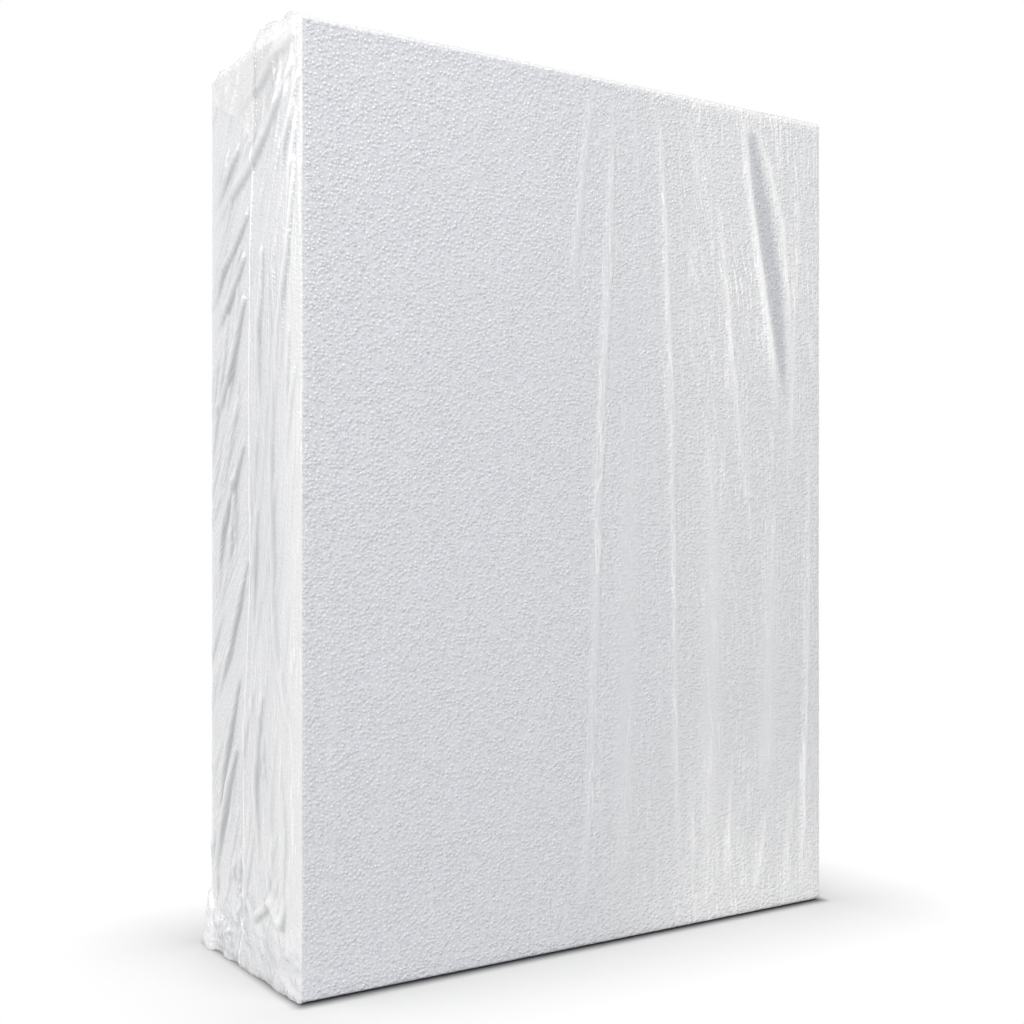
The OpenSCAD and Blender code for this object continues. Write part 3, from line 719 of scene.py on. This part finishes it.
@dataclass
class FilmBag:
    """The clear bag: a tube of film round the slab, closed over its top and folded in under it.

    The gap is the film's distance from the slab, the mouth the length folded in under it, the bend
    how far a fold's rounding reaches and the layer the distance from one ply to the next. The painted
    shadow offset is how far a fold of the left side throws its painted shade on the film beside it,
    forwards and down.
    """

    slab_low: Vector
    slab_high: Vector
    gap: float = 0.0005
    mouth: float = 0.085
    bend: float = 0.0022
    layer: float = 0.0004
    crease_angle: float = 1.2
    painted_shadow_offset: tuple[float, float] = (0.0034, 0.0024)
    ear_hang: float = 0.80
    ear_hang_loss: float = 0.36
    ear_slack: float = 0.017
    weld_rise: float = 0.0007
    weld_half: float = 0.0014
    weld_slant: float = 0.4
    top_slack: float = 0.0009
    paper_gap: float = 0.0003
    finish: ClearPolythene = field(default_factory=ClearPolythene)

    def __post_init__(self) -> None:
        """Works out the film's own sizes from the slab's."""
        span = self.slab_high - self.slab_low
        self.wide = span.x + 2 * self.gap
        self.deep = span.y + 2 * self.gap
        self.high = span.z + self.gap + UNDER_GAP
        self.foot = self.slab_low.z - UNDER_GAP
        self.girth = 2 * (self.wide + self.deep)
        self.length = self.mouth + self.high + self.deep / 2

    # -- where the sheet's lines of points lie

    def _lines(self) -> tuple[Array, Array]:
        """Places the sheet's upright and level lines, closer together by the folds and where it shows.

        The film past the top has the same lines as half a narrow side, so that an ear's diagonal crease
        runs from corner to corner of the sheet's squares.

        Returns:
            The upright lines' distances round the bag from the left weld, and the level lines' ones
            from the mouth's edge.
        """
        close, half = np.array(CLOSE_LINES), self.deep / 2
        side = np.concatenate([[0.0], close, np.linspace(OPEN_LINES, half - OPEN_LINES, SIDE_LINES),
                               half - close[::-1], [half]])
        columns, start = [half - side[::-1]], half
        for step, span in zip(COLUMN_STEPS, (self.wide, self.deep, self.wide)):
            inner = np.linspace(OPEN_LINES, span - OPEN_LINES, round((span - 2 * OPEN_LINES) / step))
            columns.append(start + np.concatenate([close, inner, span - close[::-1], [span]]))
            start += span
        foot, top = self.mouth, self.mouth + self.high
        rows = [np.linspace(0, foot - OPEN_LINES, MOUTH_LINES), foot - close[::-1], [foot], foot + close,
                np.arange(foot + OPEN_LINES, foot + FOOT_REACH, FOOT_STEP),
                np.linspace(foot + FOOT_REACH + 2 * MM, top - 6 * MM, UPPER_LINES), top - close[::-1],
                top + side]
        return np.concatenate([*columns, start + side[1:]]), np.concatenate(rows)

    # -- how the flat sheet lies over the slab

    def _lay(self, along: Array, up: Array) -> tuple[Array, Array]:
        """Lays points of the flat sheet over the slab, with every fold still sharp.

        The ends fold as a parcel does: on a narrow side the film turns in along the two diagonals
        from its corners, so a point goes in by the lesser of its two distances and across by the
        greater one.

        Args:
            along: the points' distance round the bag.
            up: their distance from the mouth's edge.

        Returns:
            Their places, and the way the film faces there.
        """
        wide, deep, high = self.wide, self.deep, self.high
        along = np.mod(along, self.girth)
        # the panels in turn: half the left side, the front, the right side, the back, half the left side
        turns = np.cumsum([deep / 2, wide, deep, wide])
        panel = np.searchsorted(turns, along, side="right")
        narrow = panel % 2 == 0
        into = along - np.concatenate([[0.0], turns])[panel]
        x = np.choose(panel, [-wide / 2, into - wide / 2, wide / 2, wide / 2 - into, -wide / 2])
        y = np.choose(panel, [-into, -deep / 2, into - deep / 2, deep / 2, deep / 2 - into])
        sx, sy = np.sign(x), np.where(y < 0, -1.0, 1.0)
        over = np.maximum(up - self.mouth - high, 0)
        under = np.maximum(self.mouth - up, 0)
        past = over + under
        corner = deep / 2 - np.abs(y)
        in_x = np.where(narrow, np.minimum(corner, past), 0)
        in_y = np.where(narrow, np.where(past > 0, np.maximum(corner, past), corner), past)
        y = sy * (deep / 2 - in_y)
        ear = narrow & (over > 0)
        tuck = under > 0
        # the ear's front half is tucked behind the side's own film
        pressed = np.interp(y / (deep / 2), (-0.12, 0.0), (-0.35, 1.0))
        plies = pressed * np.where(past < corner, 1.0, 2.0) * ramp(in_x, 0, PLY_EASE)
        x = np.where(ear, sx * (wide / 2 + plies * self.layer), np.where(tuck, x - sx * in_x, x))
        # the slack at the back lets an ear hang lower near the corner, and less far at the tip
        back = ramp(y, 0, deep / 4)
        slack = self.ear_slack * back * (1 - np.exp(-in_x / 0.005))
        drop = in_x * (self.ear_hang - self.ear_hang_loss * back) + slack
        z = np.where(ear, high - drop, np.clip(up - self.mouth, 0, high))
        level = np.where(narrow & (past < corner), 0.2, np.where(sy < 0, 1.0, 2.0))
        z = np.where(tuck, -level * self.layer * ramp(past, 0, PLY_EASE), z)
        faces_x = np.where(narrow & ~tuck, sx, 0)
        faces_y = np.where(~narrow & (past == 0), sy, 0)
        faces_z = np.where(tuck, -1.0, np.where(~narrow & (over > 0), 1.0, 0))
        return np.stack([x, y, z + self.foot], -1), np.stack([faces_x, faces_y, faces_z], -1)

    def _rounded(self, along: Array, up: Array) -> tuple[Array, Array]:
        """Lays points over the slab with every fold rounded to the film's bend.

        Args:
            along: the points' distance round the bag.
            up: their distance from the mouth's edge.

        Returns:
            Their places, and the way the film faces there.
        """
        steps = [(share * self.bend, weight) for share, weight in BEND_STEPS]
        place, way = 0.0, 0.0
        for da, wa in steps:
            for du, wu in steps:
                # past the closed end the film goes on down its other side
                beyond = up + du > self.length
                p, n = self._lay(np.where(beyond, -(along + da), along + da),
                                 np.clip(np.where(beyond, 2 * self.length - up - du, up + du), 0, None))
                place, way = place + wa * wu * p, way + wa * wu * n
        size = np.linalg.norm(way, axis=-1, keepdims=True)
        return place, way / np.maximum(size, 1e-6)

    def _on_faces(self, along: Array, up: Array, place: Array, way: Array) -> FilmPoints:
        """Finds which face each point lies on, and where.

        Args:
            along: the points' distance round the bag.
            up: their distance from the mouth's edge.
            place: their places.
            way: the way the film faces there.

        Returns:
            The points.
        """
        lead = np.argmax(np.abs(way), axis=-1)
        sign = np.take_along_axis(way, lead[..., None], -1)[..., 0] > 0
        face = np.choose(lead, [np.where(sign, more.value, less.value) for more, less in (
            (Face.RIGHT, Face.LEFT), (Face.BACK, Face.FRONT), (Face.TOP, Face.UNDER))])
        x, y, z = place[..., 0], place[..., 1], place[..., 2] - self.foot
        half_w, half_d = self.wide / 2, self.deep / 2
        # by the faces' numbers: front, right, back, left, top, under
        across = np.choose(face, [x + half_w, y + half_d, half_w - x, half_d - y, x + half_w, x + half_w])
        height = np.where(face == Face.TOP.value, y + half_d, z)
        return FilmPoints(along, up, face, across, height)

    # -- slack, folds and loose ends

    def _relief(self, points: FilmPoints) -> tuple[Array, Array, Array]:
        """Adds up what the folds lift the film by.

        Args:
            points: the film's points.

        Returns:
            The lift at each point, how near it is to one of the front's main folds and the painted shade
            that a fold of the left side throws beside it, both from 0 to 1.
        """
        lift, near, painted_shade = (np.zeros_like(points.across) for _ in range(3))
        for which, strays in STRAY_FOLDS.items():
            here = points.on(which)
            across, up = points.across[here], points.height[here]
            wide = self.deep if which in (Face.LEFT, Face.RIGHT) else self.wide
            high = self.deep if which is Face.TOP else self.high
            spread = FOLD_SPREAD.get(which, 1.0)
            folds = list(MAIN_FOLDS.get(which, ()))
            for number, patch in enumerate(strays):
                folds += patch.folds(10 * which.value + number, wide, high)
            top, rest = np.zeros_like(across), np.zeros_like(across)
            for fold in folds:
                rise = fold.lift(across, up, wide, high, spread)
                rest += np.minimum(top, rise)
                top = np.maximum(top, rise)
            edge = np.minimum.reduce([across, wide - across, up, high - up])
            lift[here] = (top + 0.5 * rest) * ramp(edge, 0, 0.006) * RELIEF_GAIN.get(which, 1.0)
            if which is Face.FRONT:
                close = [fold.lift(across, up, wide, high, spread=2.6) for fold in FRONT_FOLDS]
                near[here] = ramp(np.maximum.reduce(close), 0, 2.2 * MM)
            if which is Face.LEFT:
                # painted shade, as a fold's cast shadow: the film greys where a fold a step above and behind
                # stands higher
                lift_toward_light = [fold.lift(across - self.painted_shadow_offset[0], up + self.painted_shadow_offset[1], wide, high, spread)
                          for fold in folds]
                painted_shade[here] = np.clip((np.maximum.reduce(lift_toward_light) - top) / (1.5 * MM), 0, 0.8)
        return lift, near, painted_shade

    def _wander(self, place: Array, points: FilmPoints) -> Array:
        """Slides the left side's film so that its weld wanders, and leaves its edges where they are.

        Args:
            place: the points' places.
            points: the film's points.

        Returns:
            The new places.
        """
        shares = along_table(points.height / self.high, WELD_PATH)
        slide = (0.5 - shares) * self.deep * (1 - np.abs(place[..., 1]) / (self.deep / 2))
        moved = place.copy()
        moved[..., 1] += np.where(points.on(Face.LEFT), slide, 0)
        return moved

    def _loose_ends(self, place: Array) -> Array:
        """Lifts the loose film over the top left edge, and moves it out at the left side's foot.

        Args:
            place: the points' places.

        Returns:
            How each point moves.
        """
        share = (place[..., 1] + self.deep / 2) / self.deep
        inward, height = place[..., 0] + self.wide / 2, place[..., 2] - self.foot
        rise = along_table(share, CROWN_RISE_MM) * MM
        lift = rise * (fade(inward, 0.010 + 3.0 * rise) * fade(self.high - height, 0.022)) ** 1.3
        below = fade(np.maximum(height, 0), along_table(1 - share, HEM_HIGH_MM) * MM)
        out = (0.35 * ramp(below, 0, 1 / 12) + 0.65 * below**1.2) * fade(inward, 0.02)
        out = out * along_table(1 - share, HEM_REACH_MM) * MM
        return np.stack([-0.12 * lift - out, 0.3 * out * fade(1 - share, 1 / 8), lift], -1)

    def _ripple(self, place: Array, points: FilmPoints) -> Array:
        """Gives the film its faint waviness, and the slack that keeps it off the slab's top.

        Args:
            place: the points' places.
            points: the film's points.

        Returns:
            The lift at each point.
        """
        wave = [noise.noise(Vector(spot)) for spot in (place * WAVES).reshape(-1, 3).tolist()]
        depth = points.by_face(WAVE_DEPTH_MM, 0.45) * MM
        wavy = depth * (0.5 + 0.5 * np.array(wave).reshape(depth.shape))
        share = points.across / self.wide
        slack = self.top_slack * ramp(share, 0, 0.1) * ramp(1 - share, 0, 0.05)
        return wavy + points.by_face({Face.TOP: slack}, 0)

    def _crumple(self, points: FilmPoints) -> Array:
        """Works out where the film is bunched: the ears, the foot of the narrow sides and the brim.

        Args:
            points: the film's points.

        Returns:
            The share of bunching at each point, from 0 to 1.
        """
        below = self.high - points.height
        ears, hem = 0.07 * ramp(below, 0.085, -0.04), 1.3 * ramp(points.height, 0.050, -0.025)
        side = np.maximum.reduce([ears, hem, np.full_like(below, 0.12)])
        left = np.maximum(side, np.clip(0.6 - below / 0.016, 0, 1))
        brim = 0.2 * fade(below, 0.012)
        over = 0.4 + 0.6 * fade(points.across, 0.03)
        return points.by_face({Face.LEFT: left, Face.RIGHT: side, Face.FRONT: brim, Face.BACK: brim,
                               Face.TOP: over}, 0.0)

    def _bunching(self, place: Array, crumple: Array) -> Array:
        """Lifts bunched film in sharp little ridges, and leaves the upright edges straight.

        Args:
            place: the points' places.
            crumple: the share of bunching there.

        Returns:
            The lift at each point.
        """
        lift = np.zeros_like(crumple)
        here = crumple > 0.02
        for per_metre, height_mm in BUNCH_RIDGES:
            wave = [noise.noise(Vector(spot)) for spot in (place[here] * per_metre).tolist()]
            lift[here] += height_mm * MM * np.clip(1 - 2.4 * np.abs(np.array(wave)), 0, 1)
        from_edge = self.deep / 2 - np.abs(place[..., 1])
        return lift * crumple * ramp(from_edge, 0, np.where(place[..., 0] > 0, 0.03, 0.004))

    # -- what the finish is told

    def _grain(self, points: FilmPoints) -> Array:
        """Places each point across the grain of the fine creases, which run as the big folds do.

        Args:
            points: the film's points.

        Returns:
            The place across the grain, in metres.
        """
        share_x, share_z = points.across / self.wide, points.height / self.high
        paths = [np.interp(share_z, GRAIN_HEIGHTS, path) for path in GRAIN_PATHS]
        front = sum(ramp(share_x, low, high - low) * (path[-1] - before[-1])
                    for before, path, low, high in zip(GRAIN_PATHS, GRAIN_PATHS[1:], paths, paths[1:]))
        # the creases on the left side fan from its top front corner, and slant behind the weld
        below = np.maximum(self.high - points.height, 0)
        fan = -(self.deep / 2 - points.along) * 0.19 / (np.minimum(below, 0.15) + 0.04)
        slant = points.along - 0.95 * points.height
        left = np.where(points.along < self.girth / 2, fan, slant)
        return points.by_face({Face.FRONT: front * self.wide, Face.LEFT: left}, points.along)

    def _haze(self, points: FilmPoints, lift: Array) -> Array:
        """Works out how milky the film looks: little where it clings, more where it is slack or lies in two
        plies.

        Args:
            points: the film's points.
            lift: what the folds lift the film by.

        Returns:
            The haze at each point, from 0 to 1.
        """
        share_x, share_z = points.across / self.wide, points.height / self.high
        slack = ramp(share_x, 0.38, 0.35) * (0.7 + 0.3 * ramp(share_z, 0.3, 0.5))
        brim = np.clip(1.5 - (self.high - points.height) / 0.005, 0, 1)
        foot = fade(points.height, 0.16) * ramp(share_x, 0.2, 0.5)
        edge = fade(points.across, 0.0028)
        front = SLACK_HAZE * slack + BRIM_HAZE * brim + FOOT_HAZE * foot + EDGE_HAZE * edge
        near = ramp(points.across / self.deep, 0.72, 0.2)
        low = fade(share_z, 0.4)
        left = 0.22 * near * (1 - 0.7 * low) + 0.16 * low - 0.10 * ramp(points.height, 0.03, -0.01)
        base = points.by_face(FACE_HAZE, 0.1) + points.by_face({Face.FRONT: front, Face.LEFT: left}, 0)
        seen = base + lift / points.by_face({Face.FRONT: FRONT_MILKY_LIFT}, MILKY_LIFT)
        # the plies that an ear hides stay clear, and its flap is evenly milky
        deep, wide = self.deep, self.wide
        from_left = np.mod(points.along + deep / 2, self.girth)
        on_left = from_left < deep
        narrow = on_left | ((from_left > deep + wide) & (from_left < 2 * deep + wide))
        side = np.where(on_left, from_left, from_left - deep - wide)
        corner = np.minimum(side, deep - side)
        to_back = np.where(on_left, deep / 2 - side, side - deep / 2)
        past = points.up - self.mouth - self.high
        wall = (past <= 0) & (-past < 0.7 * corner) & (to_back > 0.003)
        hidden = narrow & ((past > 0) & (past < corner) & (to_back > 0) | wall)
        behind = narrow & (past > 0.002) & (to_back <= 0)
        flap = narrow & (past >= corner) & (to_back > 0)
        haze = np.clip(np.where(hidden, 0.08, np.where(flap, FLAP_HAZE, seen)), 0.02, 0.9)
        return np.where(behind, FLAP_HAZE * fade(deep / 2 - np.maximum(corner, past), 0.006), haze)

    def _looks(self, points: FilmPoints, lift: Array, near: Array, painted_shade: Array
               ) -> dict[FilmValue, Array]:
        """Works out the film's haze, creases, cling and painted shade for its finish.

        Args:
            points: the film's points.
            lift: what the folds lift the film by.
            near: how near they are to one of the front's main folds.
            painted_shade: the painted shade that a fold of the left side throws beside them.

        Returns:
            These values at each point.
        """
        tight = np.clip(1.5 * TIGHT_FILM.lift(points.across, points.height, self.wide, self.high) / MM, 0, 1)
        tight = tight * points.on(Face.FRONT)
        haze = self._haze(points, lift)
        haze = np.where(haze > 0, haze + 0.14 * near * (1 - tight), 0) * (1 - 0.7 * tight)
        one_ply = (haze > 0.1) & (points.up < self.mouth + self.high)
        share_x, share_z = points.across / self.wide, points.height / self.high
        below = self.high - points.height
        slack = ramp(share_x, 0.42, 0.4) * (0.5 + 0.5 * ramp(share_z, 0.25, 0.5))
        front = 0.04 + 0.66 * np.clip(slack + 0.4 * fade(below, 0.03), 0, 1)
        side = 0.45 * np.clip((points.height - 0.03) / 0.05, 0.15, 1) * np.clip(below / 0.12, 0.4, 1)
        streak = points.by_face({Face.FRONT: front, Face.UNDER: 0.2}, side)
        return {
            FilmValue.HAZE: haze,
            FilmValue.STREAK: np.maximum(streak, 0.8 * near) * (1 - tight),
            FilmValue.CLING: np.maximum(fade(lift, MM), 0.4) * points.by_face({Face.FRONT: 1.0}, 0.4),
            # painted shade: grey beside the left side's folds and in the tight film between the front's folds
            FilmValue.PAINTED_SHADE: np.where(one_ply, np.maximum(painted_shade, 0.25 * tight), 0),
        }

    # -- the mesh

    def build(self) -> Object:
        """Makes the bag from one flat sheet.

        Returns:
            The bag.
        """
        columns, rows = self._lines()
        along, up = np.meshgrid(columns, rows)
        place, way = self._rounded(along, up)
        points = self._on_faces(along, up, place, way)
        ear = points.height > self.high - self.weld_slant * self.deep
        from_weld = np.minimum(along, self.girth - along) + ear
        place = self._wander(place, points)
        lift, near, painted_shade = self._relief(points)
        lift = lift + self.weld_rise * fade(from_weld, self.weld_half)
        crumple = self._crumple(points)
        push = self._ripple(place, points) + self._bunching(place, crumple)
        place = place + way * (lift + push)[..., None] + self._loose_ends(place)
        place[..., 2] = np.maximum(place[..., 2], self.paper_gap)
        values = self._looks(points, lift, near, painted_shade)
        values |= {FilmValue.CRUMPLE: crumple, FilmValue.FROM_WELD: from_weld}
        mesh = self._mesh(columns, rows, place, values, self._grain(points))
        mesh.materials.append(self.finish.material())
        bag = bpy.data.objects.new("film_bag", mesh)
        bpy.context.scene.collection.objects.link(bag)
        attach(bag, "root")
        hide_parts("film_wrap")
        return bag

    def _mesh(self, columns: Array, rows: Array, place: Array,
              values: dict[FilmValue, Array], grain: Array) -> Mesh:
        """Makes the sheet of film, joins its closed end and sides, and puts it in place.

        Args:
            columns: the sheet's upright lines.
            rows: its level lines.
            place: the points' places, by row and column.
            values: what the finish is told at each point.
            grain: their places across the grain of the fine creases.

        Returns:
            The mesh.
        """
        bm = bmesh.new()
        bmesh.ops.create_grid(bm, x_segments=len(columns) - 1, y_segments=len(rows) - 1, size=1.0)
        layers = [(bm.verts.layers.float.new(kind.value), values[kind]) for kind in FilmValue]
        grain_map = bm.loops.layers.uv.new(self.finish.grain_map)
        spots, over = {}, set()
        for vert in bm.verts:
            i = round((vert.co.x + 1) / 2 * (len(columns) - 1))
            j = round((vert.co.y + 1) / 2 * (len(rows) - 1))
            spots[vert.index] = (grain[j, i], rows[j])
            for layer, value in layers:
                vert[layer] = value[j, i]
            vert.co = place[j, i]
            if rows[j] > self.mouth + self.high:
                over.add(vert.index)
        for face in bm.faces:
            for loop in face.loops:
                loop[grain_map].uv = spots[loop.vert.index]
        bmesh.ops.remove_doubles(bm, verts=bm.verts, dist=2e-6)
        # an ear's crease is the long diagonal of the squares that it crosses
        ears = [f for f in bm.faces if len(f.verts) == 4 and any(v.index in over for v in f.verts)]
        bmesh.ops.triangulate(bm, faces=ears, quad_method="LONG_EDGE", ngon_method="BEAUTY")
        for face in bm.faces:
            face.smooth = True
        for edge in bm.edges:
            edge.smooth = edge.calc_face_angle(0.0) < self.crease_angle
        front = min(bm.faces, key=lambda f: f.calc_center_median().y)
        if front.normal.y > 0:
            bmesh.ops.reverse_faces(bm, faces=bm.faces)
        mesh = bpy.data.meshes.new("film_bag")
        bm.to_mesh(mesh)
        bm.free()
        return mesh


# ---- studio


@dataclass(frozen=True)
class SoftBox:
    """One lamp with a soft, even face."""

    name: str
    place: tuple[float, float, float]
    aim: tuple[float, float, float]
    size: tuple[float, float]
    watts: float

    def hang(self) -> None:
        """Hangs the lamp, facing its aim."""
        data = bpy.data.lights.new(self.name, "AREA")
        data.shape = "RECTANGLE"
        data.size, data.size_y = self.size
        data.energy = self.watts
        place = Vector(self.place)
        stand(bpy.data.objects.new(self.name, data), place, Vector(self.aim) - place)


SOFT_BOXES = (
    SoftBox("key_left", (-3.35, -2.25, 1.5), (0, 0, 0.3), (1.4, 2.4), 58.0),
    SoftBox("side_left", (-3.0, 1.8, 2.4), (0, 0, 0.3), (2.4, 2.4), 82.0),
    SoftBox("overhead", (0.3, -1.9, 3.7), (0, 0, 0.2), (2.0, 2.0), 76.0),
    SoftBox("back_fill", (1.8, 3.4, 2.4), (0, 0, 0.3), (2.4, 2.4), 40.0),
    SoftBox("front_strip", (0.35, -3.4, 0.9), (0, 0, 0.3), (0.5, 2.6), 19.0),
)


@dataclass
class Studio:
    """Paper, surround, lamps and camera, placed from the bag's near upright edge.

    The light is how strongly the white surround lights the slab. The shift is the camera's, as a
    share of the picture's width.
    """

    edge: Vector
    paper_half: float = 6.0
    light: float = 0.26
    camera_off_edge: tuple[float, float, float] = (-0.3491, -0.7775, 0.2949)
    camera_way: tuple[float, float, float] = (0.5408, 0.8411, 0.0)
    lens_mm: float = 48.94
    sensor_mm: float = 36.0
    shift: float = 0.006836

    def build(self) -> None:
        """Sets up the whole studio."""
        self.camera()
        self.floor()
        self.world()
        for box in SOFT_BOXES:
            box.hang()

    def camera(self) -> None:
        """Sets the camera level, off the slab's front left edge."""
        data = bpy.data.cameras.new("camera")
        data.lens, data.sensor_width, data.shift_y = self.lens_mm, self.sensor_mm, self.shift
        camera = bpy.data.objects.new("camera", data)
        stand(camera, self.edge + Vector(self.camera_off_edge), Vector(self.camera_way))
        bpy.context.scene.camera = camera

    def floor(self) -> None:
        """Lays the paper that the slab stands on."""
        mesh = bpy.data.meshes.new("studio_floor")
        bm = bmesh.new()
        bmesh.ops.create_grid(bm, x_segments=1, y_segments=1, size=self.paper_half)
        bm.to_mesh(mesh)
        bm.free()
        mesh.materials.append(StudioPaper((abs(self.edge.x), abs(self.edge.y))).material())
        floor = bpy.data.objects.new("studio_floor", mesh)
        bpy.context.scene.collection.objects.link(floor)

    def world(self) -> None:
        """Sets an even white surround, seen as white and lighting the slab at a plain level."""
        world = bpy.data.worlds.new("studio_world")
        world.use_nodes = True
        tree = world.node_tree
        tree.nodes.clear()
        strength = add_node(tree, "MapRange", {"Value": seen_directly(tree), "To Min": self.light})
        surround = add_node(tree, "Background", {"Color": linear(WHITE), "Strength": strength})
        add_node(tree, "OutputWorld", {"Surface": surround})
        bpy.context.scene.world = world


def main() -> None:
    """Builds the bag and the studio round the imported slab."""
    logging.basicConfig(level=logging.INFO, format="%(message)s")
    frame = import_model()
    slab = FoamSlab(frame["nodes"]["foam_sheet"]).dress()
    log.info("slab: %s", slab.name)
    foam_low, foam_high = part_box("foam_sheet")
    wrap = FilmBag(foam_low, foam_high)
    bag = wrap.build()
    log.info("bag: %s, %d triangles", bag.name, sum(len(p.vertices) - 2 for p in bag.data.polygons))
    Studio(Vector((foam_low.x - wrap.gap, foam_low.y - wrap.gap, 0.0))).build()
    log.info("studio: %d lamps", len(SOFT_BOXES))
    bpy.context.scene.view_settings.view_transform = "Standard"


if __name__ == "__main__":
    main()
